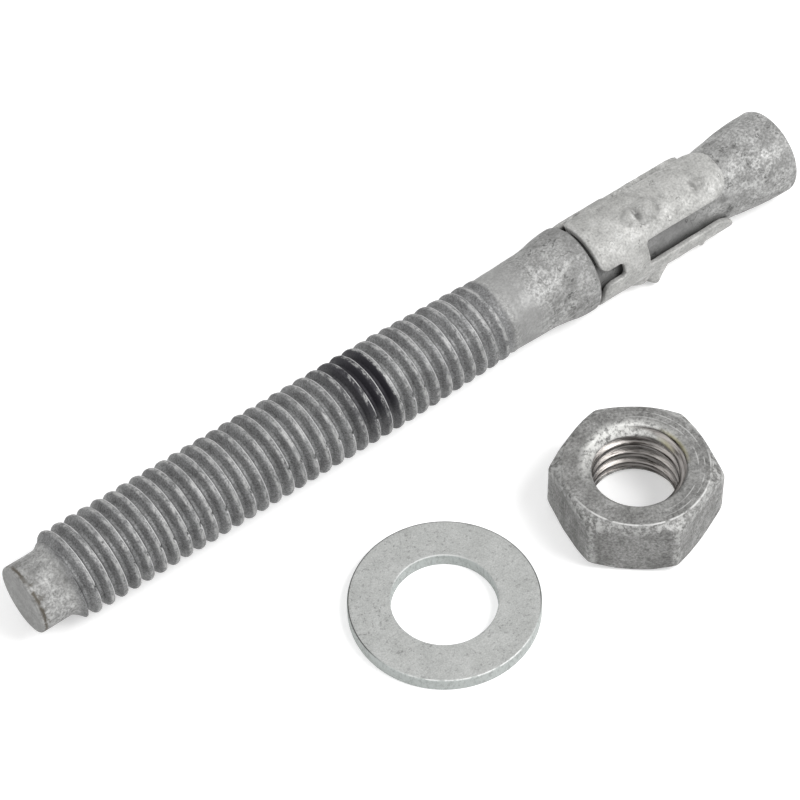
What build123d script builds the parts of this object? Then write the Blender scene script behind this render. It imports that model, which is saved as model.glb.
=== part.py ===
from build123d import *
import os
from math import cos, radians, sin, tan

# Wedge anchor with its washer and nut taken off, all lying on one flat surface.
# Millimetres. X runs along the stud from its threaded tip to its cone, Z is up and z = 0 is the surface.

# Stud: one turned and rolled steel bar, each length measured along its axis
stub_diameter = 9.3
stub_length = 4.3
stub_edge_radius = 0.3
lead_in_length = 1.9
lead_in_radius = 0.95
# The thread is a plain cylinder at its crest diameter
thread_diameter = 12.17
thread_length = 50.8
runout_length = 17.2
shank_diameter = 10.76
shank_length = 7.6
shank_swell_diameter = 11.16
flare_length = 3.2
flare_radius = 4.0
collar_diameter = 12.46
collar_land = 2.45
neck_diameter = 9.4
neck_length = 20.35
cone_length = 9.95
cone_end_diameter = 12.1
cone_land = 4.05
cone_edge_radius = 0.6

# Expansion clip: one strip of sheet steel wrapped round the neck
clip_sheet = 0.87
clip_play = 0.55
clip_collar_gap = 0.4
clip_length = 22.85
clip_turn = 102.0
panel_count = 3
panel_pitch = 119.0
notch_arc = 20.0
slot_arc = 37.0
bridge_setback = 3.6
bridge_width = 4.3
panel_rear_radius = 1.4
bridge_corner_radius = 0.5

# Bumps pressed outwards in each panel: station from the strip's rear edge, turn from the panel's middle
grip_station = 9.6
grip_turn = 5.0
grip_rear_reach = 4.2
grip_front_reach = 3.2
grip_height = 1.0
stop_station = 18.5
stop_turn = 10.0
stop_reach = 2.0
stop_height = 0.33
bump_wall = 0.75

# Washer: a stamped flat ring
washer_diameter = 24.3
washer_bore = 13.46
washer_thickness = 1.96
washer_edge_radius = 0.25

# Nut: a cold-formed hexagon
nut_across_flats = 19.4
nut_height = 9.2
nut_bore = 10.9
nut_countersink = 13.1
nut_countersink_depth = 1.1
nut_face_diameter = 19.5
nut_corner_slope = 36.0

# Where the loose pieces lie: along the stud from its tip, and to the side from its axis
washer_along = 42.8
washer_aside = 29.46
nut_along = 71.24
nut_aside = 32.16
nut_turn = -11.16

# Stations along the stud, from its tip
thread_start = stub_length + lead_in_length
thread_end = thread_start + thread_length
shank_start = thread_end + runout_length
shank_end = shank_start + shank_length
collar_start = shank_end + flare_length
collar_end = collar_start + collar_land
cone_start = collar_end + neck_length
cone_end = cone_start + cone_length
stud_length = cone_end + cone_land

# The collar's outer edge and the root beside it share the height of its step
collar_step = (collar_diameter - neck_diameter) / 2
collar_edge_radius = 0.58 * collar_step
neck_root_radius = 0.3 * collar_step

# The strip lies round the neck with even play, and its ends round the same axis
clip_inner_radius = neck_diameter / 2 + clip_play
clip_outer_radius = clip_inner_radius + clip_sheet
clip_start = collar_end + clip_collar_gap
panel_half_width = clip_inner_radius * sin(radians(panel_pitch - slot_arc) / 2)
panel_front_radius = 0.9 * panel_half_width


def nearest_corner(face, station, diameter):
    """The corner of a half section that lies closest to a station and diameter."""
    return face.vertices().sort_by_distance((station, diameter / 2, 0))[0]


def stud():
    """Half section of the whole bar, turned about its axis."""
    outline = Polyline(
        (0, 0),
        (0, stub_diameter / 2),
        (stub_length, stub_diameter / 2),
        (thread_start, thread_diameter / 2),
        (thread_end, thread_diameter / 2),
        (shank_start, shank_diameter / 2),
        (shank_end, shank_swell_diameter / 2),
        (collar_start, collar_diameter / 2),
        (collar_end, collar_diameter / 2),
        (collar_end, neck_diameter / 2),
        (cone_start, neck_diameter / 2),
        (cone_end, cone_end_diameter / 2),
        (stud_length, cone_end_diameter / 2),
        (stud_length, 0),
        close=True,
    )
    section = make_face(outline)
    rounded = [
        (0, stub_diameter, stub_edge_radius),
        (stub_length, stub_diameter, lead_in_radius),
        (shank_end, shank_swell_diameter, flare_radius),
        (collar_start, collar_diameter, flare_radius),
        (collar_end, collar_diameter, collar_edge_radius),
        (collar_end, neck_diameter, neck_root_radius),
        (cone_end, cone_end_diameter, flare_radius),
        (stud_length, cone_end_diameter, cone_edge_radius),
    ]
    for station, diameter, radius in rounded:
        section = fillet(nearest_corner(section, station, diameter), radius)
    return revolve(section, axis=Axis.X)


def sector(start, length, arc, inner, outer):
    """Part of a tube about the stud's axis, arc degrees wide and centred on the +Y side."""
    section = Pos(start + length / 2, (inner + outer) / 2) * Rectangle(length, outer - inner)
    return Rot(X=-arc / 2) * revolve(section, axis=Axis.X, revolution_arc=arc)


def panel_turns():
    """The angle of each panel's middle about the axis, from the +Y side."""
    first = clip_turn - panel_pitch * (panel_count - 1) / 2
    return [first + panel_pitch * index for index in range(panel_count)]


def slotted_strip():
    """The wrapped strip, cut into panels that only a narrow bridge joins on each side."""
    whole_arc = panel_pitch * panel_count - slot_arc
    strip = Rot(X=clip_turn) * sector(clip_start, clip_length, whole_arc, clip_inner_radius, clip_outer_radius)
    bridge_end = bridge_setback + bridge_width
    reach = clip_outer_radius + clip_sheet
    notch = sector(clip_start - clip_sheet, clip_sheet + bridge_setback, notch_arc, neck_diameter / 2, reach)
    slot = sector(clip_start + bridge_end, clip_length, slot_arc, neck_diameter / 2, reach)
    for turn in panel_turns()[1:]:
        strip = strip - Rot(X=turn - panel_pitch / 2) * notch - Rot(X=turn - panel_pitch / 2) * slot
    return strip


def through_edges(strip, station):
    """The short straight edges that run through the sheet at a station along the stud."""
    straight = strip.edges().filter_by(GeomType.LINE)
    return straight.filter_by(lambda e: abs(e.tangent_at(0.5).X) < 0.5 and abs(e.center().X - station) < clip_play)


def rounded_strip():
    """Tight corners beside the collar, well rounded panel ends towards the cone, eased slot roots."""
    strip = slotted_strip()
    strip = fillet(through_edges(strip, clip_start), panel_rear_radius)
    strip = fillet(through_edges(strip, clip_start + clip_length), panel_front_radius)
    strip = fillet(through_edges(strip, clip_start + bridge_setback), bridge_corner_radius)
    return fillet(through_edges(strip, clip_start + bridge_setback + bridge_width), bridge_corner_radius)


def egg(station, rear_reach, front_reach, radius):
    """An egg lying along the strip's inner face, with its widest girth at the given station."""
    middle = (station, 0)
    rear = EllipticalCenterArc(middle, rear_reach, radius, start_angle=90, arc_size=90)
    front = EllipticalCenterArc(middle, front_reach, radius, start_angle=0, arc_size=90)
    chord = Line((station - rear_reach, 0), (station + front_reach, 0))
    half = make_face([rear, front, chord])
    return Pos(0, clip_inner_radius, 0) * revolve(half, axis=Axis.X)


def press_bump(strip, turn, station, rear_reach, front_reach, height):
    """Push the sheet outwards: a dome on its outer face and a matching pocket behind it."""
    radius = clip_sheet + height
    middle = clip_start + station
    core = sector(middle - rear_reach, rear_reach + front_reach, 360, 0, clip_inner_radius)
    dome = egg(middle, rear_reach, front_reach, radius) - core
    pocket = egg(middle, rear_reach - bump_wall, front_reach - bump_wall, radius - bump_wall)
    return strip + Rot(X=turn) * dome - Rot(X=turn) * pocket


def expansion_clip():
    """The strip with a large grip bump and a small end bump pressed out of each panel."""
    clip = rounded_strip()
    for turn in panel_turns():
        clip = press_bump(clip, turn + grip_turn, grip_station, grip_rear_reach, grip_front_reach, grip_height)
        clip = press_bump(clip, turn + stop_turn, stop_station, stop_reach, stop_reach, stop_height)
    return clip


def washer():
    """A flat ring with softened outer edges."""
    ring = Cylinder(washer_diameter / 2, washer_thickness)
    ring = fillet(ring.edges().filter_by(GeomType.CIRCLE), washer_edge_radius)
    ring = ring - Cylinder(washer_bore / 2, washer_thickness)
    return Pos(0, 0, washer_thickness / 2) * ring


def nut():
    """A hexagon with its corners turned off at both faces and a countersunk bore."""
    flats_radius = nut_across_flats / 2
    corner_radius = flats_radius / cos(radians(30))
    blank = extrude(RegularPolygon(flats_radius, 6, major_radius=False, rotation=30), nut_height)
    drop = (corner_radius - nut_face_diameter / 2) * tan(radians(nut_corner_slope))
    turned_section = make_face(Polyline(
        (0, 0),
        (nut_face_diameter / 2, 0),
        (corner_radius, drop),
        (corner_radius, nut_height - drop),
        (nut_face_diameter / 2, nut_height),
        (0, nut_height),
        close=True,
    ))
    bore_section = make_face(Polyline(
        (0, 0),
        (nut_countersink / 2, 0),
        (nut_bore / 2, nut_countersink_depth),
        (nut_bore / 2, nut_height - nut_countersink_depth),
        (nut_countersink / 2, nut_height),
        (0, nut_height),
        close=True,
    ))
    upright = Rot(X=90)
    body = blank & revolve(upright * turned_section, axis=Axis.Z)
    return body - revolve(upright * bore_section, axis=Axis.Z)


def laid_out():
    """Every piece where it lies, before the whole is centred."""
    axis_height = max(thread_diameter, collar_diameter, cone_end_diameter) / 2
    on_axis = Pos(0, 0, axis_height)
    return {
        "stud": on_axis * stud(),
        "expansion_clip": on_axis * expansion_clip(),
        "washer": Pos(washer_along, -washer_aside, 0) * washer(),
        "nut": Pos(nut_along, -nut_aside, 0) * Rot(Z=nut_turn) * nut(),
    }


pieces = laid_out()
box = Compound(list(pieces.values())).bounding_box()
centred = Pos(-box.center().X, -box.center().Y, -box.min.Z)
os.makedirs("parts", exist_ok=True)
for name, piece in pieces.items():
    placed = centred * piece
    placed.label = name
    export_step(placed, f"parts/{name}.step")
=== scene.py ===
from math import atan2, cos, degrees, exp, hypot, pi, radians, sin

import bmesh
import bpy
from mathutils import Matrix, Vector, noise


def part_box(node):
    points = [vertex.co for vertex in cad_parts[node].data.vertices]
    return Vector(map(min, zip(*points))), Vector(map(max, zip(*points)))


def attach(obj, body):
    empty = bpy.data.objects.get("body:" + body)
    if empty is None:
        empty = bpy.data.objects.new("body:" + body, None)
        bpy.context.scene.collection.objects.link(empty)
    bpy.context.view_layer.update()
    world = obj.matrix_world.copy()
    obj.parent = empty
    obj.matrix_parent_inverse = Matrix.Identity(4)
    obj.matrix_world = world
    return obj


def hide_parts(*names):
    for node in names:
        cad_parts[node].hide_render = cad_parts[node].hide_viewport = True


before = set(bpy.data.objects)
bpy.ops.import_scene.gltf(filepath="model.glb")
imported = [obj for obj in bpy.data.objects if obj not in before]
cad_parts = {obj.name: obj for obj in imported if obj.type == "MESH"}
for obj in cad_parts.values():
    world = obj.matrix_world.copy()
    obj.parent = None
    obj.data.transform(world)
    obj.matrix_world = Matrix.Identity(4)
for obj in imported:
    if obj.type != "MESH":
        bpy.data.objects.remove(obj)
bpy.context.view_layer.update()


# ---------------------------------------------------------------- view
# A long lens looks down on the row from the stud's threaded end, so that the stud runs away to the
# upper right. The camera's place is measured from the table under the stud's tip.

mm = 0.001
stud_low, stud_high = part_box("stud")
tip_x = stud_low.x
axis_y = (stud_low.y + stud_high.y) / 2
axis_z = (stud_low.z + stud_high.z) / 2
view_from_tip = Vector((-91.846, -208.657, 324.837)) * mm
view_turns = (38.3867, 1.1830, -37.2133)
lens_length = 142.07
film_width = 36

camera_data = bpy.data.cameras.new("view")
camera_data.sensor_width = film_width
camera_data.lens = lens_length
camera = bpy.data.objects.new("view", camera_data)
camera.location = Vector((tip_x, axis_y, 0)) + view_from_tip
camera.rotation_euler = [radians(turn) for turn in view_turns]
bpy.context.scene.collection.objects.link(camera)
bpy.context.scene.camera = camera
bpy.context.scene.view_settings.view_transform = "Standard"


# ---------------------------------------------------------------- table and light
# The row lies on a plain white table top in a white room. One broad soft lamp above the viewer's
# right shoulder gives the metal its highlights, and a weaker one on the left fills the shade.

def background_rays(tree):
    """1 where a ray comes from the camera, a reflection or a clear piece, and 0 for light itself."""
    path = tree.nodes.new("ShaderNodeLightPath")
    seen = path.outputs["Is Camera Ray"]
    for kind in ("Is Glossy Ray", "Is Transmission Ray"):
        either = tree.nodes.new("ShaderNodeMath")
        either.operation = "MAXIMUM"
        tree.links.new(seen, either.inputs[0])
        tree.links.new(path.outputs[kind], either.inputs[1])
        seen = either.outputs[0]
    return seen


room_white = (1, 1, 1, 1)
room_light = 0.5
world = bpy.data.worlds.new("room")
bpy.context.scene.world = world
world.use_nodes = True
room = world.node_tree
background = room.nodes["Background"]
background.inputs["Color"].default_value = room_white
room_strength = room.nodes.new("ShaderNodeMapRange")
room_strength.inputs["To Min"].default_value = room_light
room_strength.inputs["To Max"].default_value = 1
room.links.new(background_rays(room), room_strength.inputs["Value"])
room.links.new(room_strength.outputs["Result"], background.inputs["Strength"])

table_half = 1.5
table_white = (0.82, 0.82, 0.82, 1)
table_glow = 0.42
table_mesh = bpy.data.meshes.new("table")
shape = bmesh.new()
bmesh.ops.create_grid(shape, x_segments=1, y_segments=1, size=table_half)
shape.to_mesh(table_mesh)
shape.free()
table = bpy.data.objects.new("table", table_mesh)
bpy.context.scene.collection.objects.link(table)
table_paint = bpy.data.materials.new("table_paint")
table_paint.use_nodes = True
paint = table_paint.node_tree
matt = paint.nodes.new("ShaderNodeBsdfDiffuse")
matt.inputs["Color"].default_value = table_white
glow = paint.nodes.new("ShaderNodeEmission")
glow_strength = paint.nodes.new("ShaderNodeMath")
glow_strength.operation = "MULTIPLY"
glow_strength.inputs[1].default_value = table_glow
both = paint.nodes.new("ShaderNodeAddShader")
paint.links.new(background_rays(paint), glow_strength.inputs[0])
paint.links.new(glow_strength.outputs[0], glow.inputs["Strength"])
paint.links.new(matt.outputs[0], both.inputs[0])
paint.links.new(glow.outputs[0], both.inputs[1])
paint.links.new(both.outputs[0], paint.nodes["Material Output"].inputs["Surface"])
table_mesh.materials.append(table_paint)


def soft_lamp(name, spot, size, power):
    """A square softbox that faces the middle of the row."""
    lamp_data = bpy.data.lights.new(name, "AREA")
    lamp_data.size = size
    lamp_data.energy = power
    lamp = bpy.data.objects.new(name, lamp_data)
    lamp.location = spot
    lamp.rotation_euler = (-Vector(spot)).to_track_quat("-Z", "Y").to_euler()
    bpy.context.scene.collection.objects.link(lamp)


soft_lamp("key", spot=(0.24, -0.32, 0.52), size=0.32, power=3.2)
soft_lamp("fill", spot=(-0.45, 0.10, 0.50), size=0.40, power=0.8)


# ---------------------------------------------------------------- zinc skin
# All four pieces are steel dipped in molten zinc and tumbled. The coat has a fine bright grain, soft
# dull clouds a few millimetres wide, and small dark pits where it is thin.

zinc_metallic = 0.22
pit_colour = (0.05, 0.05, 0.045, 1)


def add(tree, kind, **settings):
    """A new node, with its plain settings."""
    node = tree.nodes.new(kind)
    for name, value in settings.items():
        setattr(node, name, value)
    return node


def feed(tree, source, node, socket):
    """Link a source socket, or set a plain value."""
    if isinstance(source, bpy.types.NodeSocket):
        tree.links.new(source, node.inputs[socket])
    else:
        node.inputs[socket].default_value = source


def arithmetic(tree, operation, first, second=0.0, third=0.0):
    """One math node and its result."""
    node = add(tree, "ShaderNodeMath", operation=operation)
    feed(tree, first, node, 0)
    feed(tree, second, node, 1)
    feed(tree, third, node, 2)
    return node.outputs[0]


def times(tree, first, *others):
    """Shares multiplied together."""
    product = first
    for other in others:
        product = arithmetic(tree, "MULTIPLY", product, other)
    return product


def apart(tree, value, middle):
    """How far a value lies from a middle one, either way."""
    return arithmetic(tree, "ABSOLUTE", arithmetic(tree, "SUBTRACT", value, middle))


def remap(tree, value, start, end, at_start=0.0, at_end=1.0):
    """Turn a value's run from start to end into a run from at_start to at_end, held beyond them."""
    node = add(tree, "ShaderNodeMapRange")
    feed(tree, value, node, "Value")
    feed(tree, start, node, "From Min")
    feed(tree, end, node, "From Max")
    feed(tree, at_start, node, "To Min")
    feed(tree, at_end, node, "To Max")
    return node.outputs["Result"]


def place(tree):
    """A point's own place on the piece."""
    return add(tree, "ShaderNodeTexCoord").outputs["Object"]


def cloud(tree, scale, detail=4.0, roughness=0.55, where=None):
    """Noise that stays put on the piece; scale is in patches per metre."""
    node = add(tree, "ShaderNodeTexNoise")
    tree.links.new(where or place(tree), node.inputs["Vector"])
    feed(tree, scale, node, "Scale")
    feed(tree, detail, node, "Detail")
    feed(tree, roughness, node, "Roughness")
    return node.outputs["Fac"]


def blend(tree, share, first, second):
    """Mix two colours."""
    node = add(tree, "ShaderNodeMix", data_type="RGBA")
    feed(tree, share, node, 0)
    feed(tree, first, node, 6)
    feed(tree, second, node, 7)
    return node.outputs[2]


def patches(tree, scale, low, high, detail=4.0, roughness=0.55, least=0.0, most=1.0, where=None):
    """Noise sharpened into patches: least where it is under low, most where it is over high."""
    return remap(tree, cloud(tree, scale, detail, roughness, where), low, high, least, most)


def hairlines(tree, scale, width, cover):
    """Sparse, wandering dark scratches; cover is how much of the surface may carry them."""
    core_width = 0.3 * width
    patch_scale = 1.7 * scale
    wander = cloud(tree, scale, detail=3.0, roughness=0.5)
    line = remap(tree, apart(tree, wander, 0.5), width, core_width)
    carried = patches(tree, patch_scale, low=0.62 - cover, high=0.66 - cover, detail=1.0)
    return times(tree, line, carried)


def flecks(tree, scale, gather, cover):
    """Small bright crystals of zinc, gathered in patches; cover is how much they show."""
    grains = patches(tree, scale, low=0.50, high=0.60, roughness=0.7)
    gathered = patches(tree, gather, low=0.44, high=0.60, detail=2.0, most=cover)
    return times(tree, grains, gathered)


def zinc_group():
    """The zinc coat's colour, roughness and height over a surface."""
    dull_roughness = 0.70
    bright_roughness = 0.46
    cloud_height = 0.6
    pit_size = 0.33
    group = bpy.data.node_groups.new("zinc_coat", "ShaderNodeTree")
    for name, kind, value in (
        ("Light", "NodeSocketColor", (0.5, 0.5, 0.5, 1)),
        ("Dull", "NodeSocketColor", (0.3, 0.3, 0.3, 1)),
        ("Cloud Scale", "NodeSocketFloat", 400.0),
        ("Grain Scale", "NodeSocketFloat", 4000.0),
        ("Grain", "NodeSocketFloat", 0.3),
        ("Pits", "NodeSocketFloat", 0.3),
    ):
        socket = group.interface.new_socket(name, in_out="INPUT", socket_type=kind)
        socket.default_value = value
    group.interface.new_socket("Color", in_out="OUTPUT", socket_type="NodeSocketColor")
    group.interface.new_socket("Roughness", in_out="OUTPUT", socket_type="NodeSocketFloat")
    group.interface.new_socket("Height", in_out="OUTPUT", socket_type="NodeSocketFloat")
    given = group.nodes.new("NodeGroupInput").outputs
    clouds = cloud(group, given["Cloud Scale"], detail=5.0, roughness=0.62)
    tone = blend(group, remap(group, clouds, start=0.38, end=0.62), given["Dull"], given["Light"])
    grain = cloud(group, given["Grain Scale"], detail=2.0, roughness=0.6)
    bright = remap(group, grain, start=0.3, end=0.7, at_start=-1.0)
    gain = arithmetic(group, "MULTIPLY_ADD", bright, given["Grain"], 1.0)
    grained = add(group, "ShaderNodeVectorMath", operation="SCALE")
    group.links.new(tone, grained.inputs[0])
    group.links.new(gain, grained.inputs["Scale"])
    pit_scale = times(group, given["Grain Scale"], pit_size)
    pits = patches(group, pit_scale, low=0.60, high=0.70, detail=3.0, roughness=0.5)
    pit_share = times(group, pits, given["Pits"])
    pitted = blend(group, pit_share, grained.outputs[0], pit_colour)
    shine = times(group, grain, clouds)
    rough = remap(group, shine, start=0.1, end=0.4, at_start=dull_roughness, at_end=bright_roughness)
    height = arithmetic(group, "MULTIPLY_ADD", clouds, cloud_height, grain)
    sunk = arithmetic(group, "SUBTRACT", height, pit_share)
    result = group.nodes.new("NodeGroupOutput")
    group.links.new(pitted, result.inputs["Color"])
    group.links.new(rough, result.inputs["Roughness"])
    group.links.new(sunk, result.inputs["Height"])
    return group


zinc = zinc_group()


def coated(tree, light, dull, cloud_scale, grain_scale, grain, pits):
    """The zinc coat placed in a material with its own values."""
    node = add(tree, "ShaderNodeGroup", node_tree=zinc)
    node.inputs["Light"].default_value = (*light, 1)
    node.inputs["Dull"].default_value = (*dull, 1)
    node.inputs["Cloud Scale"].default_value = cloud_scale
    node.inputs["Grain Scale"].default_value = grain_scale
    node.inputs["Grain"].default_value = grain
    node.inputs["Pits"].default_value = pits
    return node.outputs


def metal(name, bump_depth):
    """A coated metal with a bump node in place; returns the material, tree, shader and bump."""
    material = bpy.data.materials.new(name)
    material.use_nodes = True
    tree = material.node_tree
    shader = tree.nodes["Principled BSDF"]
    shader.inputs["Metallic"].default_value = zinc_metallic
    bump = add(tree, "ShaderNodeBump")
    bump.inputs["Distance"].default_value = bump_depth
    bump.inputs["Strength"].default_value = 1.0
    tree.links.new(bump.outputs[0], shader.inputs["Normal"])
    return material, tree, shader, bump


def laid_on(tree, skin, colour, *shares):
    """A colour laid over the skin where its shares allow; its fourth number is how well it covers."""
    red, green, blue, cover = colour
    return blend(tree, times(tree, *shares, cover), skin, (red, green, blue, 1))


def attribute(tree, name):
    """A value that the piece's own points carry."""
    return add(tree, "ShaderNodeAttribute", attribute_name=name).outputs["Fac"]


def finished(shape, name, material):
    """The shape as a smooth-shaded object in its material."""
    bmesh.ops.recalc_face_normals(shape, faces=shape.faces[:])
    mesh = bpy.data.meshes.new(name)
    shape.to_mesh(mesh)
    shape.free()
    for polygon in mesh.polygons:
        polygon.use_smooth = True
    mesh.materials.append(material)
    piece = bpy.data.objects.new(name, mesh)
    bpy.context.scene.collection.objects.link(piece)
    return piece


# ---------------------------------------------------------------- stud
# One steel bar, headed and turned to a collar, a neck and a cone, with a half-inch coarse thread
# rolled on its other end, then zinc coated all over. A band of dark ink marks how deep it is set.

stub_radius = 4.65 * mm
stub_length = 4.3 * mm
lead_in_length = 1.9 * mm
lead_in_curve = 1.6
thread_radius = 6.085 * mm
thread_pitch = 1.954 * mm
shank_start = 74.3 * mm
crest_at_side = 6.4055 * mm
# One pitch of the thread from root to root: station from the crest in millimetres, share of the
# depth, and 1 on the thin lip that the rolling dies fold over beside the crest, where a highlight is
# painted, -1 in its seam, where a shadow is painted
thread_profile = (
    (-0.977, 0.00, 0), (-0.84, 0.01, 0), (-0.73, 0.08, 0), (-0.38, 0.80, 0), (-0.28, 0.92, 0),
    (-0.14, 0.985, 0), (0.00, 1.00, 0), (0.12, 0.98, 0), (0.22, 0.95, 0), (0.26, 0.955, 1),
    (0.38, 0.89, 1), (0.41, 0.73, -1), (0.54, 0.46, -1), (0.60, 0.34, 0), (0.73, 0.08, 0),
    (0.84, 0.01, 0), (0.977, 0.00, 0),
)
# Where the thread runs out, in millimetres: station from the tip, crest radius, root radius
runout = (
    (57.0, 6.085, 5.10), (65.7, 5.80, 5.10), (70.2, 5.70, 5.16),
    (73.2, 5.50, 5.28), (74.3, 5.38, 5.38),
)
# Along the run-out the nicks fade first and the lip's painted highlight and shadow last
runout_fade = (57.0 * mm, 70.0 * mm)
lip_fade = (68.5 * mm, 71.0 * mm)
# The thread is spun from a little before the stub, turn by turn, and trimmed at both ends
turn_steps = 120
turns_before_crest = 2
thread_turns = 38
# Ridges that the lead-in has taken down count as half risen
lead_in_rise = 0.5
crest_lumps = 0.05 * mm
lump_size = 1.3 * mm
# The dies nick each ridge's cone side once a turn, scattered and slanted a little, in degrees
nick_turn = 159.0
nick_scatter = 9
nick_slant = 24
nick_half_width = 2.6
nick_depth = 0.32 * mm
# Where its bottom is painted dark as shade and the lip beside it bright as a highlight, in degrees
# from its middle
nick_hollow = (-1.6, 1.4)
nick_lip = (1.4, 4.4)
# How far past the crest, as a share of the pitch, and how far up the flank a nick begins and is full
nick_past_crest = (0.02, 0.10)
nick_up_flank = (0.3, 0.7)
# Each ridge draws a chance of its own, a step further through the noise; a low one has no nick
chance_step = 3.7
nick_chances = (-0.45, 0.1)
# The ink band, in turns of the helix counted from the tip, and the turns from +Y where it is thin
ink_fade = (19.6, 22.3)
ink_edge = (23.93, 23.99)
ink_seam = 302.7
ink_thins = (140, 185)
ink_thickens = (240, 280)
ink_thinning = 0.55


def along(table, station, column):
    """Straight-line reading of one column of a table of stations, in metres."""
    station = station / mm
    if station <= table[0][0]:
        return table[0][column] * mm
    for before, after in zip(table, table[1:]):
        if station <= after[0]:
            share = (station - before[0]) / (after[0] - before[0])
            return (before[column] + share * (after[column] - before[column])) * mm
    return table[-1][column] * mm


def ramp(value, low, high):
    """0 below low, 1 above high, with a soft rise between."""
    share = min(max((value - low) / (high - low), 0.0), 1.0)
    return share * share * (3 - 2 * share)


def on_axis(vertex):
    """A vertex's station from the tip, turn from +Y in degrees and distance from the stud's axis."""
    y = vertex.co.y - axis_y
    z = vertex.co.z - axis_z
    return vertex.co.x - tip_x, degrees(atan2(z, y)) % 360, hypot(y, z)


def set_radius(vertex, radius):
    """Move a vertex straight out from, or in to, the stud's axis."""
    _, turn, _ = on_axis(vertex)
    vertex.co.y = axis_y + radius * cos(radians(turn))
    vertex.co.z = axis_z + radius * sin(radians(turn))


def helix(shape, profile, centre, axis, turns):
    """One turn of a screw thread, spun from its profile and repeated along its axis."""
    edges = [shape.edges.new(pair) for pair in zip(profile, profile[1:])]
    bmesh.ops.spin(
        shape, geom=profile + edges, cent=centre, axis=axis,
        dvec=Vector(axis) * (thread_pitch / turn_steps), angle=2 * pi, steps=turn_steps,
    )
    turn = shape.verts[:] + shape.edges[:] + shape.faces[:]
    for index in range(1, turns):
        copied = bmesh.ops.duplicate(shape, geom=turn)["geom"]
        moved = [item for item in copied if isinstance(item, bmesh.types.BMVert)]
        bmesh.ops.translate(shape, verts=moved, vec=Vector(axis) * (thread_pitch * index))
    weld = 0.004 * mm
    bmesh.ops.remove_doubles(shape, verts=shape.verts[:], dist=weld)


def cut_off(shape, point, outward):
    """Trim an open surface at a plane."""
    snap = 0.0001 * mm
    bmesh.ops.bisect_plane(
        shape, geom=shape.verts[:] + shape.edges[:] + shape.faces[:], dist=snap,
        plane_co=point, plane_no=outward, clear_outer=True,
    )


def nick(station, turn, rise):
    """The nick on a point's ridge: degrees round from it, its share there and how deep it cuts."""
    ridge = (station - crest_at_side) / thread_pitch - turn / 360
    across = ridge - round(ridge)
    chance = noise.noise(Vector((round(ridge) * chance_step, 0.5, 0.5)))
    away = turn - nick_turn - nick_scatter * chance + nick_slant * across
    before_runout = 1 - ramp(station, *runout_fade)
    share = ramp(across, *nick_past_crest) * before_runout * ramp(chance, *nick_chances)
    depth = nick_depth * exp(-(away / nick_half_width) ** 2) * ramp(rise, *nick_up_flank) * share
    return away, share, depth


def inked(station, turn):
    """How much ink a point of the thread carries."""
    from_seam = (turn - ink_seam) % 360 - 360 + ink_seam
    turns = (station - crest_at_side) / thread_pitch - from_seam / 360
    band = ramp(turns, *ink_fade) * (1 - ramp(turns, *ink_edge))
    return band * (1 - ink_thinning * ramp(turn, *ink_thins) * (1 - ramp(turn, *ink_thickens)))


def rolled_thread(shape, rise_layer, lip_layer, ink_layer):
    """The thread as rolled, fitted to the lead-in and the run-out, with its nicks and its ink."""
    start = tip_x + crest_at_side - turns_before_crest * thread_pitch
    profile = []
    for station, rise, lip in thread_profile:
        vertex = shape.verts.new((start + station * mm, axis_y + thread_radius, axis_z))
        vertex[rise_layer] = rise
        vertex[lip_layer] = lip
        profile.append(vertex)
    helix(shape, profile, (0, axis_y, axis_z), (1, 0, 0), thread_turns)
    cut_off(shape, (tip_x + stub_length, 0, 0), (-1, 0, 0))
    cut_off(shape, (tip_x + shank_start, 0, 0), (1, 0, 0))
    for vertex in shape.verts:
        station, turn, _ = on_axis(vertex)
        crest = along(runout, station, 1)
        root = along(runout, station, 2)
        rise = vertex[rise_layer]
        lumps = crest_lumps * noise.noise(vertex.co / lump_size) * rise
        nick_away, nick_share, nick_cut = nick(station, turn, rise)
        radius = root + rise * (crest - root) + lumps - nick_cut
        # The lip's painted highlight and the seam's painted shadow fade out along the run-out
        vertex[lip_layer] *= 1 - ramp(station, *lip_fade)
        # Each nick's bottom is marked for painted shade and the lip beside it for a painted highlight
        if rise > 0.5 and nick_share > 0.5:
            if nick_hollow[0] < nick_away <= nick_hollow[1]:
                vertex[lip_layer] = -1
            elif nick_lip[0] < nick_away <= nick_lip[1]:
                vertex[lip_layer] = 1
        lead = (station - stub_length) / lead_in_length
        if lead < 1:
            lead_radius = stub_radius + (thread_radius - stub_radius) * max(lead, 0) ** lead_in_curve
            if lead_radius < radius:
                radius = lead_radius
                vertex[rise_layer] = lead_in_rise
                vertex[lip_layer] = 0
        set_radius(vertex, radius)
        vertex[ink_layer] = inked(station, turn)


def turned_end(shape, outline, rounded):
    """A surface of revolution from a half outline in millimetres, its corners rounded first."""
    corners = [shape.verts.new((tip_x + x * mm, axis_y + r * mm, axis_z)) for x, r in outline]
    for pair in zip(corners, corners[1:]):
        shape.edges.new(pair)
    for index, radius in rounded:
        bmesh.ops.bevel(
            shape, geom=[corners[index]], offset=radius * mm, affect="VERTICES", segments=6,
            profile=0.5, material=-1,
        )
    ring_gap = 0.45 * mm
    weld = 0.002 * mm
    for edge in [e for e in shape.edges if e.calc_length() > ring_gap]:
        bmesh.ops.subdivide_edges(shape, edges=[edge], cuts=int(edge.calc_length() / ring_gap))
    bmesh.ops.spin(
        shape, geom=shape.verts[:] + shape.edges[:], cent=(0, axis_y, axis_z), axis=(1, 0, 0),
        angle=2 * pi, steps=turn_steps, use_merge=True,
    )
    bmesh.ops.remove_doubles(shape, verts=shape.verts[:], dist=weld)


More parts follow.
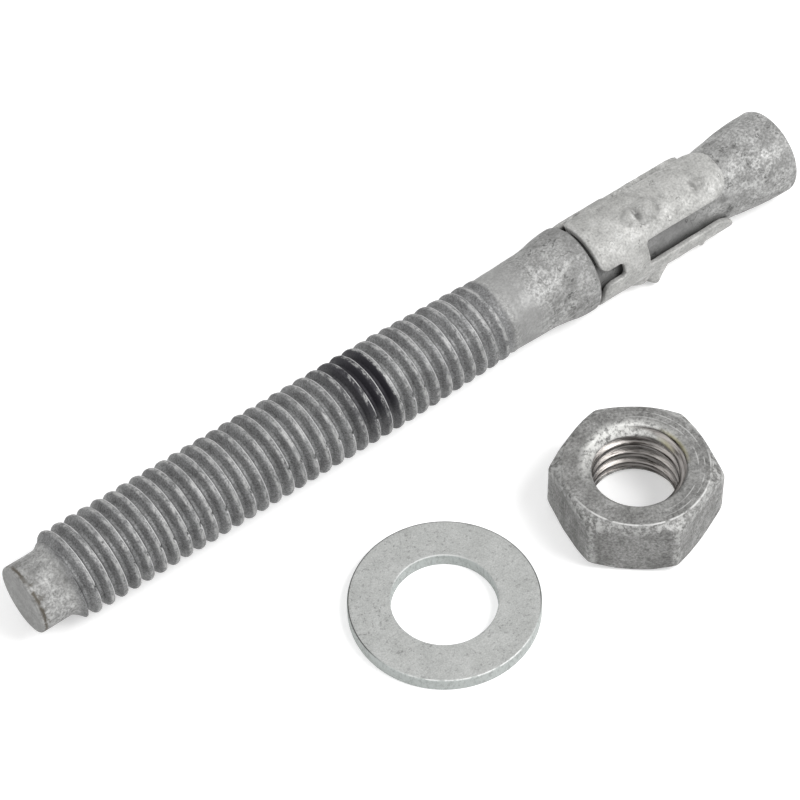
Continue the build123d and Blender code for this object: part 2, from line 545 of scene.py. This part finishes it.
def joined_end(shape, outline, rounded, station):
    """Turn one end on its own and bridge it to the thread across a hair's gap."""
    end = bmesh.new()
    for layer in shape.verts.layers.float.keys():
        end.verts.layers.float.new(layer)
    turned_end(end, outline, rounded)
    part = bpy.data.meshes.new("stud_end")
    end.to_mesh(part)
    end.free()
    shape.from_mesh(part)
    bpy.data.meshes.remove(part)
    reach = 0.2 * mm
    rims = [
        e for e in shape.edges
        if e.is_boundary and all(abs(v.co.x - tip_x - station) < reach for v in e.verts)
    ]
    bmesh.ops.bridge_loops(shape, edges=rims)


# Half outlines of the two plain ends: station from the tip and radius, in millimetres, and then
# each rounded corner's number and radius, the last corner first
tip_outline = ((0, 0), (0, 4.65), (4.25, 4.65))
tip_rounded = ((1, 0.32),)
shank_outline = (
    (74.35, 5.38), (81.8, 5.58), (85.0, 6.23), (87.45, 6.23), (87.45, 4.7), (107.8, 4.7),
    (117.75, 6.05), (121.8, 6.05), (121.8, 0),
)
shank_rounded = ((7, 0.6), (6, 2.0), (4, 0.4), (3, 0.8), (2, 1.2), (1, 1.2))


def dimpled(shape, depth, size):
    """Press shallow hollows and lumps into every unthreaded stretch, as forging and tumbling leave."""
    flat_middle = 2 * mm
    plain_from = shank_start + 0.5 * mm
    for vertex in shape.verts:
        station, _, radius = on_axis(vertex)
        if radius > flat_middle and not stub_length < station < plain_from:
            set_radius(vertex, radius + depth * noise.noise(vertex.co / size))


# The bar's zinc where it is plain and where it is rolled, light and dull
plain_light = (0.340, 0.340, 0.334)
plain_dull = (0.228, 0.228, 0.223)
rolled_light = (0.222, 0.224, 0.225)
rolled_dull = (0.155, 0.156, 0.157)
# What is laid over it: red, green, blue and how well it covers
bar_crystals = (0.58, 0.58, 0.575, 1)
# Painted shade on the neck where the clip wraps round it
neck_shade = (0.168, 0.168, 0.166, 0.75)
collar_grime = (0.175, 0.175, 0.172, 1)
rubbed_shank = (0.320, 0.320, 0.315, 0.6)
sawn_end = (0.245, 0.245, 0.240, 0.6)
crest_wear = (0.40, 0.40, 0.395, 1)
bar_scratches = (0.06, 0.06, 0.058, 0.75)
rim_dirt = (0.085, 0.075, 0.06, 1)
ink_black = (0.009, 0.008, 0.013, 1)
# Painted shadow in the thread's seams and nick bottoms, and a painted highlight on its lips
seam_shade = (0.022, 0.022, 0.022, 0.92)
lip_glint = (0.56, 0.56, 0.56, 0.85)
# Where each finish and the neck's painted shade fade in and out along the bar, in millimetres from the
# tip
sawn_fade = (0.06, 0.16)
specks_stretch = ((0.12, 0.30), (0.7, 2.0))
rolled_stretch = ((5.4, 6.2), (73.3, 74.1))
rubbed_stretch = ((74, 75), (77.5, 80))
scratches_start = (78, 81)
grime_stretch = ((83.5, 87.0), (87.4, 87.5))
neck_stretch = ((87.3, 87.7), (104, 108.5))
# How far the borders between finishes wander, and the burr round the stub's rim: its place along
# the bar, how far it wanders and, in millimetres, how its half width fades
border_wander = 1.2 * mm
burr_station = 0.85 * mm
burr_wander = 0.7 * mm
burr_fade = (0.10, 0.36)
speck_strength = 0.8
crest_streaks = (1.0, 0.55, 0.55)
ink_rubbed_off = 0.70


def fade_in(tree, station, start, end):
    """0 before one station along the bar and 1 after another; the stations are in millimetres."""
    return remap(tree, station, start * mm, end * mm)


def fade_out(tree, station, start, end):
    """1 before one station along the bar and 0 after another; the stations are in millimetres."""
    return remap(tree, station, end * mm, start * mm)


def stretch(tree, station, ends):
    """1 along one stretch of the bar, fading at both ends."""
    return times(tree, fade_in(tree, station, *ends[0]), fade_out(tree, station, *ends[1]))


def plain_bar(tree, skin, station, wander):
    """The colour of the bar where it isn't rolled: its stub, shank, collar, neck and cone, with
    painted shade on the neck.
    """
    skin = laid_on(tree, skin, bar_crystals, flecks(tree, scale=1500.0, gather=190.0, cover=0.48))
    # Painted shade on the neck under the clip
    skin = laid_on(tree, skin, neck_shade, stretch(tree, station, neck_stretch))
    grimy_from = fade_in(tree, wander, *grime_stretch[0])
    grimy_to = fade_out(tree, station, *grime_stretch[1])
    mottled = patches(tree, scale=520.0, low=0.40, high=0.56, roughness=0.65, least=0.1, most=0.6)
    skin = laid_on(tree, skin, collar_grime, grimy_from, grimy_to, mottled)
    skin = laid_on(tree, skin, rubbed_shank, stretch(tree, wander, rubbed_stretch))
    return laid_on(tree, skin, sawn_end, fade_out(tree, station, *sawn_fade))


def tip_dirt(tree, station):
    """A ragged burr round the stub's rim and fine specks behind it."""
    ragged = arithmetic(tree, "MULTIPLY_ADD", cloud(tree, scale=1200.0), burr_wander, station)
    ridge = fade_out(tree, apart(tree, ragged, burr_station), *burr_fade)
    burr = times(tree, ridge, patches(tree, scale=330.0, low=0.40, high=0.50, detail=2.0))
    near_rim = stretch(tree, station, specks_stretch)
    specks = patches(tree, scale=1300.0, low=0.54, high=0.62, detail=5.0, roughness=0.7)
    return arithmetic(tree, "MAXIMUM", burr, times(tree, near_rim, specks, speck_strength))


def stud_material():
    """Dark rolled thread with worn crests, light mottled shank and cone, ink in the band; painted
    shadow in the seams and on the neck, painted highlights on the lips.
    """
    material, tree, shader, bump = metal("stud_zinc", bump_depth=0.045 * mm)
    rise = attribute(tree, "rise")
    lip = attribute(tree, "lip")
    ink = attribute(tree, "ink")
    split = add(tree, "ShaderNodeSeparateXYZ")
    tree.links.new(place(tree), split.inputs[0])
    station = arithmetic(tree, "SUBTRACT", split.outputs["X"], tip_x)
    wander = arithmetic(tree, "MULTIPLY_ADD", cloud(tree, scale=500.0), border_wander, station)
    rolled = stretch(tree, wander, rolled_stretch)
    plain = coated(
        tree, light=plain_light, dull=plain_dull,
        cloud_scale=380.0, grain_scale=3000.0, grain=0.30, pits=0.35,
    )
    dark = coated(
        tree, light=rolled_light, dull=rolled_dull,
        cloud_scale=420.0, grain_scale=4300.0, grain=0.44, pits=0.35,
    )
    bright = plain_bar(tree, plain["Color"], station, wander)
    skin = blend(tree, rolled, bright, dark["Color"])
    drawn_out = add(tree, "ShaderNodeMapping")
    drawn_out.inputs["Scale"].default_value = crest_streaks
    tree.links.new(place(tree), drawn_out.inputs[0])
    drawn = drawn_out.outputs[0]
    streaks = patches(tree, scale=1200.0, low=0.47, high=0.57, detail=5.0, roughness=0.82, where=drawn)
    worn = times(tree, remap(tree, rise, start=0.90, end=0.99), streaks, rolled)
    skin = laid_on(tree, skin, crest_wear, worn)
    scratched = hairlines(tree, scale=420.0, width=0.016, cover=0.08)
    skin = laid_on(tree, skin, bar_scratches, scratched, fade_in(tree, station, *scratches_start))
    skin = laid_on(tree, skin, rim_dirt, tip_dirt(tree, station))
    ink_left = arithmetic(tree, "SUBTRACT", 1.0, times(tree, worn, ink_rubbed_off))
    skin = laid_on(tree, skin, ink_black, ink, ink_left)
    # The seams and nick bottoms painted dark as shadow, the lips painted bright as highlights
    skin = laid_on(tree, skin, seam_shade, remap(tree, lip, start=-0.1, end=-0.7))
    broken = patches(tree, scale=450.0, low=0.38, high=0.50, detail=3.0, least=0.15)
    skin = laid_on(tree, skin, lip_glint, remap(tree, lip, start=0.2, end=0.9), broken)
    tree.links.new(skin, shader.inputs["Base Color"])
    rough = blend(tree, rolled, plain["Roughness"], dark["Roughness"])
    tree.links.new(rough, shader.inputs["Roughness"])
    height = blend(tree, rolled, plain["Height"], dark["Height"])
    tree.links.new(height, bump.inputs["Height"])
    return material


stud_shape = bmesh.new()
rise_layer = stud_shape.verts.layers.float.new("rise")
lip_layer = stud_shape.verts.layers.float.new("lip")
ink_layer = stud_shape.verts.layers.float.new("ink")
rolled_thread(stud_shape, rise_layer, lip_layer, ink_layer)
joined_end(stud_shape, tip_outline, tip_rounded, stub_length)
joined_end(stud_shape, shank_outline, shank_rounded, shank_start)
dimpled(stud_shape, depth=0.05 * mm, size=2.2 * mm)
stud = finished(stud_shape, "threaded_stud", stud_material())
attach(stud, "anchor")
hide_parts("stud")


# ---------------------------------------------------------------- expansion clip
# One strip of sheet steel, blanked with slots, pressed with two bumps in each of its three panels,
# zinc coated and wrapped loosely round the neck. Its edges are soft and its sheet slightly wavy.

panel_middles = (-17.0, 102.0, 221.0)
# What the press leaves round each bump: place along the strip in millimetres and turn from the
# panel's middle in degrees, how far it reaches along and round, and its height in millimetres
peaks = ((9.8, 5.5, 0.80, 7.5, 0.66), (18.8, 12.5, 0.55, 5.0, 0.42))
# The creases are also painted dark as shade in the clip's colour
creases = (
    (8.3, 6.0, 0.40, 11.5, -0.50), (11.6, 11.0, 0.80, 12.0, -0.30), (17.8, 11.0, 0.34, 9.0, -0.40),
)
deepest_crease = 0.50
# The sheet's waves: height and size, in millimetres
sheet_waves = ((0.05, 2.6), (0.02, 0.8))
clip_cell = 0.14 * mm
edge_wear_passes = 5
# Its zinc, light and dull, and what is laid over it
clip_light = (0.440, 0.438, 0.425)
clip_dull = (0.340, 0.339, 0.328)
clip_crystals = (0.66, 0.66, 0.65, 1)
# Painted shade in the creases beside the bumps
painted_crease_shade = (0.10, 0.10, 0.096, 0.85)
clip_scratches = (0.08, 0.08, 0.075, 0.6)


def even_copy(node, cell):
    """A merged copy of a solid, remeshed in even cells."""
    weld = 0.001 * mm
    shape = bmesh.new()
    shape.from_mesh(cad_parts[node].data)
    bmesh.ops.remove_doubles(shape, verts=shape.verts[:], dist=weld)
    draft_mesh = bpy.data.meshes.new("draft")
    shape.to_mesh(draft_mesh)
    draft = bpy.data.objects.new("draft", draft_mesh)
    bpy.context.scene.collection.objects.link(draft)
    cells = draft.modifiers.new("cells", "REMESH")
    cells.mode = "VOXEL"
    cells.voxel_size = cell
    even = bpy.data.meshes.new_from_object(draft.evaluated_get(bpy.context.evaluated_depsgraph_get()))
    bpy.data.objects.remove(draft)
    shape.clear()
    shape.from_mesh(even)
    bpy.data.meshes.remove(even)
    return shape


def worn_round(shape):
    """Wear every edge of an evenly celled shape round."""
    for _ in range(edge_wear_passes):
        bmesh.ops.smooth_vert(
            shape, verts=shape.verts[:], factor=0.5, use_axis_x=True, use_axis_y=True, use_axis_z=True,
        )
    shape.normal_update()


def pressed(shape, start):
    """Sharpen the bumps, crease the sheet beside them and leave it slightly wavy."""
    # How deep each point lies in a crease, kept for the painted shade
    crease_layer = shape.verts.layers.float.new("crease")
    for vertex in shape.verts:
        station, turn, _ = on_axis(vertex)
        back = (station - start) / mm
        push = sum(height * noise.noise(vertex.co / (size * mm)) for height, size in sheet_waves)
        crease = 0.0
        for middle in panel_middles:
            off = (turn - middle + 180) % 360 - 180
            for along_strip, off_middle, reach, spread, height in peaks + creases:
                near = exp(-((back - along_strip) / reach) ** 2 - ((off - off_middle) / spread) ** 2)
                push += height * near
                crease = max(crease, near * -height / deepest_crease)
        outward = Vector((0, cos(radians(turn)), sin(radians(turn))))
        vertex.co += outward * (push * mm)
        vertex[crease_layer] = crease


def clip_material():
    """Light warm grey zinc with a fine grain, a few grey clouds and painted shade in the creases."""
    material, tree, shader, bump = metal("clip_zinc", bump_depth=0.04 * mm)
    coat = coated(
        tree, light=clip_light, dull=clip_dull,
        cloud_scale=420.0, grain_scale=3400.0, grain=0.20, pits=0.25,
    )
    crystals = flecks(tree, scale=1500.0, gather=170.0, cover=0.35)
    skin = laid_on(tree, coat["Color"], clip_crystals, crystals)
    # The creases painted dark as shade, broken by patches
    creased = remap(tree, attribute(tree, "crease"), start=0.15, end=0.9)
    skin = laid_on(tree, skin, painted_crease_shade, creased, patches(tree, scale=1400.0, low=0.30, high=0.50))
    skin = laid_on(tree, skin, clip_scratches, hairlines(tree, scale=420.0, width=0.010, cover=0.02))
    tree.links.new(skin, shader.inputs["Base Color"])
    tree.links.new(coat["Roughness"], shader.inputs["Roughness"])
    tree.links.new(coat["Height"], bump.inputs["Height"])
    return material


clip_low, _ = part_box("expansion_clip")
clip_shape = even_copy("expansion_clip", clip_cell)
worn_round(clip_shape)
pressed(clip_shape, clip_low.x - tip_x)
clip = finished(clip_shape, "sliding_clip", clip_material())
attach(clip, "clip")
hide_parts("expansion_clip")


# ---------------------------------------------------------------- washer
# A flat ring stamped from sheet steel and zinc coated, lying loose beside the stud. The punch has
# rounded its upper edges and torn its rims a little.

washer_low, washer_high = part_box("washer")
washer_centre = (washer_low + washer_high) / 2
washer_thick = washer_high.z - washer_low.z
washer_radius = (washer_high.x - washer_low.x) / 2
washer_hole_radius = 6.73 * mm
# How far each corner of the section is rounded, in millimetres: lower inner, lower outer, upper
# outer, upper inner
washer_roundings = (0.08, 0.2, 0.25, 0.16)
washer_steps = 240
washer_wave = 0.03 * mm
washer_wave_size = 4 * mm
# Its zinc, light and dull, and what is laid over it
washer_light = (0.445, 0.452, 0.442)
washer_dull = (0.385, 0.392, 0.382)
cut_rim = (0.49, 0.53, 0.515, 0.65)
torn_rim = (0.18, 0.19, 0.185, 0.38)
washer_specks = (0.10, 0.10, 0.098, 0.45)
# A painted highlight on the lip round the hole, on its far side
hole_glint = (0.80, 0.81, 0.80, 0.5)
# The outer upper corner, painted dark as shade and, towards the highlight turn, bright as a highlight
painted_corner_shade = (0.05, 0.05, 0.048, 0.95)
painted_corner_highlight = (0.78, 0.79, 0.78, 0.8)
washer_scratches = (0.20, 0.20, 0.20, 0.30)
# Where the cut rims, the lip round the hole and the outer corner fade in, and the turn in degrees
# from +X at which that corner is painted bright as a highlight; elsewhere it is painted dark as shade
outer_rim = (washer_radius - 0.22 * mm, washer_radius - 0.1 * mm)
inner_rim = (washer_hole_radius + 0.12 * mm, washer_hole_radius + 0.02 * mm)
tear_streaks = (1.0, 1.0, 0.4)
lip_ring = (washer_hole_radius + 0.22 * mm, washer_hole_radius + 0.12 * mm)
lip_top = (washer_high.z - 0.14 * mm, washer_high.z - 0.05 * mm)
corner_ring_radius = washer_radius - 0.14 * mm
corner_half_width = (0.10 * mm, 0.03 * mm)
corner_top = (washer_high.z - 0.16 * mm, washer_high.z - 0.08 * mm)
highlight_turn = -108


def radial(tree, centre):
    """Distance and turn of a point about an upright axis, and its height."""
    shifted = add(tree, "ShaderNodeMapping")
    shifted.inputs["Location"].default_value = (-centre.x, -centre.y, 0)
    tree.links.new(place(tree), shifted.inputs[0])
    split = add(tree, "ShaderNodeSeparateXYZ")
    tree.links.new(shifted.outputs[0], split.inputs[0])
    x, y = split.outputs["X"], split.outputs["Y"]
    square = arithmetic(tree, "MULTIPLY_ADD", x, x, times(tree, y, y))
    return arithmetic(tree, "SQRT", square), arithmetic(tree, "ARCTAN2", y, x), split.outputs["Z"]


def facing(tree, turn, middle):
    """1 on the side of a round piece at the middle turn, in degrees, and -1 on the far side."""
    return arithmetic(tree, "COSINE", arithmetic(tree, "SUBTRACT", turn, radians(middle)))


def washer_material():
    """Light grey zinc with fine dark specks, greener on the cut rims, with painted highlights on the
    hole's far lip and the outer corner's near side and painted shade round the rest of that corner.
    """
    material, tree, shader, bump = metal("washer_zinc", bump_depth=0.02 * mm)
    coat = coated(
        tree, light=washer_light, dull=washer_dull,
        cloud_scale=420.0, grain_scale=5200.0, grain=0.16, pits=0.30,
    )
    distance, turn, height = radial(tree, washer_centre)
    outer = remap(tree, distance, *outer_rim)
    inner = remap(tree, distance, *inner_rim)
    rims = arithmetic(tree, "MAXIMUM", outer, inner)
    skin = laid_on(tree, coat["Color"], cut_rim, rims)
    streaked = add(tree, "ShaderNodeMapping")
    streaked.inputs["Scale"].default_value = tear_streaks
    tree.links.new(place(tree), streaked.inputs[0])
    drawn = streaked.outputs[0]
    torn = patches(tree, scale=2600.0, low=0.50, high=0.64, detail=3.0, roughness=0.65, where=drawn)
    skin = laid_on(tree, skin, torn_rim, rims, torn)
    specks = patches(tree, scale=3300.0, low=0.62, high=0.68, detail=2.0, roughness=0.5)
    gathered = patches(tree, scale=160.0, low=0.42, high=0.56, detail=2.0)
    skin = laid_on(tree, skin, washer_specks, specks, gathered)
    toward_highlight = facing(tree, turn, highlight_turn)
    # A painted highlight on the lip round the hole, on the side away from the corner's highlight
    lip = times(tree, remap(tree, distance, *lip_ring), remap(tree, height, *lip_top))
    far_side = remap(tree, toward_highlight, start=-0.55, end=-0.9)
    skin = laid_on(tree, skin, hole_glint, lip, far_side)
    # The outer upper corner painted dark as shade, and bright as a highlight near the highlight turn
    corner = remap(tree, apart(tree, distance, corner_ring_radius), *corner_half_width)
    corner = times(tree, corner, remap(tree, height, *corner_top))
    shaded = remap(tree, toward_highlight, start=0.60, end=0.30)
    skin = laid_on(tree, skin, painted_corner_shade, corner, shaded)
    highlighted = remap(tree, toward_highlight, start=0.62, end=0.85)
    broken = patches(tree, scale=900.0, low=0.45, high=0.53)
    skin = laid_on(tree, skin, painted_corner_highlight, corner, highlighted, broken)
    skin = laid_on(tree, skin, washer_scratches, hairlines(tree, scale=600.0, width=0.012, cover=0.10))
    tree.links.new(skin, shader.inputs["Base Color"])
    tree.links.new(coat["Roughness"], shader.inputs["Roughness"])
    tree.links.new(coat["Height"], bump.inputs["Height"])
    return material


def stamped_ring():
    """The ring's section, rounded at its outer corners and spun about its centre."""
    shape = bmesh.new()
    x, y = washer_centre.x, washer_centre.y
    low, high = washer_low.z, washer_high.z
    corners = [
        shape.verts.new((x + radius, y, z)) for radius, z in (
            (washer_hole_radius, low), (washer_radius, low),
            (washer_radius, high), (washer_hole_radius, high),
        )
    ]
    for pair in zip(corners, corners[1:] + corners[:1]):
        shape.edges.new(pair)
    for corner, radius in zip(corners, washer_roundings):
        bmesh.ops.bevel(
            shape, geom=[corner], offset=radius * mm, affect="VERTICES", segments=5,
            profile=0.5, material=-1,
        )
    ring_gap = 0.5 * mm
    weld = 0.002 * mm
    for edge in [e for e in shape.edges if e.calc_length() > ring_gap]:
        bmesh.ops.subdivide_edges(shape, edges=[edge], cuts=int(edge.calc_length() / ring_gap))
    bmesh.ops.spin(
        shape, geom=shape.verts[:] + shape.edges[:], cent=(x, y, 0), axis=(0, 0, 1),
        angle=2 * pi, steps=washer_steps, use_merge=True,
    )
    bmesh.ops.remove_doubles(shape, verts=shape.verts[:], dist=weld)
    for vertex in shape.verts:
        above_table = (vertex.co.z - low) / washer_thick
        vertex.co.z += washer_wave * above_table * noise.noise(vertex.co / washer_wave_size)
    return shape


washer = finished(stamped_ring(), "flat_washer", washer_material())
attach(washer, "anchor")
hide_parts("washer")


# ---------------------------------------------------------------- nut
# A hexagon nut of cold-formed steel, its corners turned off in a cone at both faces, lying loose
# beside the stud. It was zinc coated and then tapped, so that its thread is bare oiled steel.

nut_low, nut_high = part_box("nut")
nut_centre = (nut_low + nut_high) / 2
nut_minor_radius = 5.45 * mm
nut_thread_depth = 0.98 * mm
nut_mouth_radius = 6.55 * mm
nut_mouth_depth = 1.1 * mm
nut_face_ring = 6.8 * mm
nut_turned_radius = 9.35 * mm
nut_turned_slope = 1.33
nut_corner_radius = 10.9 * mm
nut_corner_wear = 0.70
nut_rim_radius = nut_face_ring + 0.1 * mm
# The thread is cut from one pitch and this share of another below the lower face, past the upper
# one; the next three say how the bare steel and the cut fade in past the mouth and from each face
nut_thread_start = 0.98
nut_thread_turns = 8
bare_past_mouth = (-0.05 * mm, 0.1 * mm)
bare_from_face = (0.1 * mm, 0.4 * mm)
cut_from_face = (-0.4 * mm, 0.3 * mm)
nut_cell = 0.17 * mm
nut_dents = 0.05 * mm
nut_dent_size = 2.4 * mm
# Its zinc, light and dull, what is laid over it, and the bare steel of its thread
nut_light = (0.248, 0.247, 0.241)
nut_dull = (0.154, 0.153, 0.148)
# Rubbed edges, also painted bright as a highlight on the turned cone and the corners
rubbed_and_highlit_edges = (0.52, 0.52, 0.51, 0.65)
# Tool rings on the upper face, painted brighter on one side as highlights
tool_rings_and_highlights = (0.62, 0.62, 0.61, 1)
# A painted highlight round the mouth, on the side that faces the lamp
mouth_glint = (0.68, 0.68, 0.66, 1)
oil_stain = (0.33, 0.30, 0.13, 0.6)
steel_dark = (0.05, 0.044, 0.040, 1)
steel_light = (0.36, 0.340, 0.325, 1)
bare_metallic = 0.9
smoothest_steel = 0.22
roughest_steel = 0.42
streak_height = 0.4
# How much the cutting streaks are squeezed along and drawn out round the thread
streaks_along = 5.0
streaks_round = 2.5 * mm
# Where wear and painted highlights fade in: on the turned cone, at the corners, on the upper face,
# round the mouths, and where oil has stained the zinc
cone_ring = (9.2 * mm, 9.6 * mm)
cone_height = (nut_high.z - 2.2 * mm, nut_high.z - 1.2 * mm)
corner_ring = (10.75 * mm, 10.95 * mm)
face_height = (nut_high.z - 0.35 * mm, nut_high.z - 0.1 * mm)
mouth_ring = (7.7 * mm, 6.6 * mm)
oil_ring = (6.9 * mm, 6.4 * mm)
# Rings that the turning tool rubbed into the upper face, painted brighter on one side as highlights,
# the outermost as the highlight along the near edge: radius and half width in millimetres, strength,
# and the turn in degrees from +X at which each is painted brightest. Patches break them, finer for
# each millimetre of radius, and the mouth's painted highlight and the oil have their own turns
highlit_tool_rings = ((7.75, 0.10, 0.5, -20), (8.55, 0.08, 0.55, -25), (9.30, 0.15, 0.95, -105))
ring_patches = 300.0
finer_outwards = 40
glint_turn = 80
oil_turn = -5
# One pitch of the tapped thread from crest to crest: along the axis and depth, as shares
tapped_profile = (
    (0.0, 0.0), (0.125, 0.0), (0.19, 0.15), (0.30, 0.55), (0.40, 0.92), (0.46, 1.0),
    (0.54, 1.0), (0.60, 0.92), (0.70, 0.55), (0.81, 0.15), (0.875, 0.0), (1.0, 0.0),
)


def off_nut_axis(vertex):
    """A vertex's distance from the nut's axis."""
    return hypot(vertex.co.x - nut_centre.x, vertex.co.y - nut_centre.y)


def set_nut_radius(vertex, radius):
    """Move a vertex straight out from, or in to, the nut's axis."""
    share = radius / off_nut_axis(vertex)
    vertex.co.x = nut_centre.x + (vertex.co.x - nut_centre.x) * share
    vertex.co.y = nut_centre.y + (vertex.co.y - nut_centre.y) * share


def tapped_bore():
    """The bare thread between two countersunk mouths, as an open tube."""
    shape = bmesh.new()
    depth_layer = shape.verts.layers.float.new("cut")
    bare_layer = shape.verts.layers.float.new("bare")
    start = nut_low.z - (1 + nut_thread_start) * thread_pitch
    profile = []
    for share, depth in tapped_profile:
        height = start + share * thread_pitch
        vertex = shape.verts.new((nut_centre.x + nut_minor_radius, nut_centre.y, height))
        vertex[depth_layer] = depth
        profile.append(vertex)
    helix(shape, profile, (nut_centre.x, nut_centre.y, 0), (0, 0, 1), nut_thread_turns)
    cut_off(shape, (0, 0, nut_low.z), (0, 0, -1))
    cut_off(shape, (0, 0, nut_high.z), (0, 0, 1))
    for vertex in shape.verts:
        from_face = min(vertex.co.z - nut_low.z, nut_high.z - vertex.co.z)
        mouth = nut_mouth_radius - (nut_mouth_radius - nut_minor_radius) * from_face / nut_mouth_depth
        cut = nut_minor_radius + vertex[depth_layer] * nut_thread_depth
        vertex[bare_layer] = ramp(cut - mouth, *bare_past_mouth) * ramp(from_face, *bare_from_face)
        set_nut_radius(vertex, max(mouth, cut * ramp(from_face, *cut_from_face)))
    return shape


def nut_body():
    """The softened hexagon, opened at the rings that the bore's mouths meet."""
    shape = even_copy("nut", nut_cell)
    for vertex in shape.verts:
        radius = off_nut_axis(vertex)
        from_face = min(vertex.co.z - nut_low.z, nut_high.z - vertex.co.z)
        worn = min(radius, nut_corner_radius + (radius - nut_corner_radius) * nut_corner_wear)
        set_nut_radius(vertex, min(worn, nut_turned_radius + from_face * nut_turned_slope))
    worn_round(shape)
    shape.verts.layers.float.new("cut")
    shape.verts.layers.float.new("bare")
    inside = [v for v in shape.verts if off_nut_axis(v) < nut_face_ring]
    bmesh.ops.delete(shape, geom=inside, context="VERTS")
    rims = {v for e in shape.edges if e.is_boundary for v in e.verts}
    for vertex in rims:
        set_nut_radius(vertex, nut_rim_radius)
        vertex.co.z = nut_low.z if vertex.co.z < nut_centre.z else nut_high.z
    for vertex in shape.verts:
        if vertex not in rims:
            vertex.co += vertex.normal * (nut_dents * noise.noise(vertex.co / nut_dent_size))
    return shape


def joined_nut():
    """Body and bore, bridged across the ring round each mouth."""
    shape = nut_body()
    bore = tapped_bore()
    part = bpy.data.meshes.new("bore")
    bore.to_mesh(part)
    bore.free()
    shape.from_mesh(part)
    bpy.data.meshes.remove(part)
    reach = 0.05 * mm
    for face_z in (nut_low.z, nut_high.z):
        rims = [
            e for e in shape.edges
            if e.is_boundary and all(abs(v.co.z - face_z) < reach for v in e.verts)
        ]
        bmesh.ops.bridge_loops(shape, edges=rims)
    return shape


def nut_skin(tree, skin, distance, turn, height):
    """The zinc's colour, rubbed bright and painted with highlights at its edges, rings and mouths,
    with an oil stain.
    """
    # Rubbed wear and a painted highlight on the turned cone and the corners
    turned = times(tree, remap(tree, distance, *cone_ring), remap(tree, height, *cone_height))
    corner = arithmetic(tree, "MAXIMUM", turned, remap(tree, distance, *corner_ring))
    mottled = patches(tree, scale=1500.0, low=0.46, high=0.58, roughness=0.7)
    skin = laid_on(tree, skin, rubbed_and_highlit_edges, corner, mottled)
    on_face = remap(tree, height, *face_height)
    # Tool rings painted bright as highlights, brightest at each ring's own turn
    for ring, width, strength, middle in highlit_tool_rings:
        core_width = 0.4 * width
        line = remap(tree, apart(tree, distance, ring * mm), width * mm, core_width * mm)
        scale = ring_patches + ring * finer_outwards
        broken = patches(tree, scale, low=0.40, high=0.54, detail=3.0, roughness=0.6, most=strength)
        side = remap(tree, facing(tree, turn, middle), start=0.0, end=0.55, at_start=0.08)
        skin = laid_on(tree, skin, tool_rings_and_highlights, line, broken, side, on_face)
    # A painted highlight round the mouth on its lit side, broken by patches
    mouth = remap(tree, distance, *mouth_ring)
    lit_side = remap(tree, facing(tree, turn, glint_turn), start=0.0, end=0.9, at_start=0.12)
    glints = patches(tree, scale=1300.0, low=0.38, high=0.54, roughness=0.7)
    skin = laid_on(tree, skin, mouth_glint, mouth, lit_side, glints)
    oiled_side = remap(tree, facing(tree, turn, oil_turn), start=0.86, end=0.98)
    return laid_on(tree, skin, oil_stain, oiled_side, remap(tree, distance, *oil_ring))


def nut_material():
    """Grainy mid-grey zinc with a bare brownish thread."""
    material, tree, shader, bump = metal("nut_zinc", bump_depth=0.045 * mm)
    coat = coated(
        tree, light=nut_light, dull=nut_dull,
        cloud_scale=380.0, grain_scale=3200.0, grain=0.40, pits=0.55,
    )
    distance, turn, height = radial(tree, nut_centre)
    skin = nut_skin(tree, coat["Color"], distance, turn, height)
    bare = attribute(tree, "bare")
    drawn_round = add(tree, "ShaderNodeCombineXYZ")
    tree.links.new(times(tree, height, streaks_along), drawn_round.inputs["X"])
    tree.links.new(times(tree, distance, streaks_along), drawn_round.inputs["Y"])
    tree.links.new(times(tree, turn, streaks_round), drawn_round.inputs["Z"])
    streaks = cloud(tree, scale=700.0, detail=4.0, roughness=0.65, where=drawn_round.outputs[0])
    steel = blend(tree, remap(tree, streaks, start=0.35, end=0.65), steel_dark, steel_light)
    skin = blend(tree, bare, skin, steel)
    tree.links.new(skin, shader.inputs["Base Color"])
    cut = remap(tree, streaks, start=0.3, end=0.7, at_start=smoothest_steel, at_end=roughest_steel)
    rough = blend(tree, bare, coat["Roughness"], cut)
    tree.links.new(rough, shader.inputs["Roughness"])
    metallic = remap(tree, bare, start=0.0, end=1.0, at_start=zinc_metallic, at_end=bare_metallic)
    tree.links.new(metallic, shader.inputs["Metallic"])
    relief = blend(tree, bare, coat["Height"], times(tree, streaks, streak_height))
    tree.links.new(relief, bump.inputs["Height"])
    return material


nut = finished(joined_nut(), "hex_nut", nut_material())
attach(nut, "anchor")
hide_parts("nut")
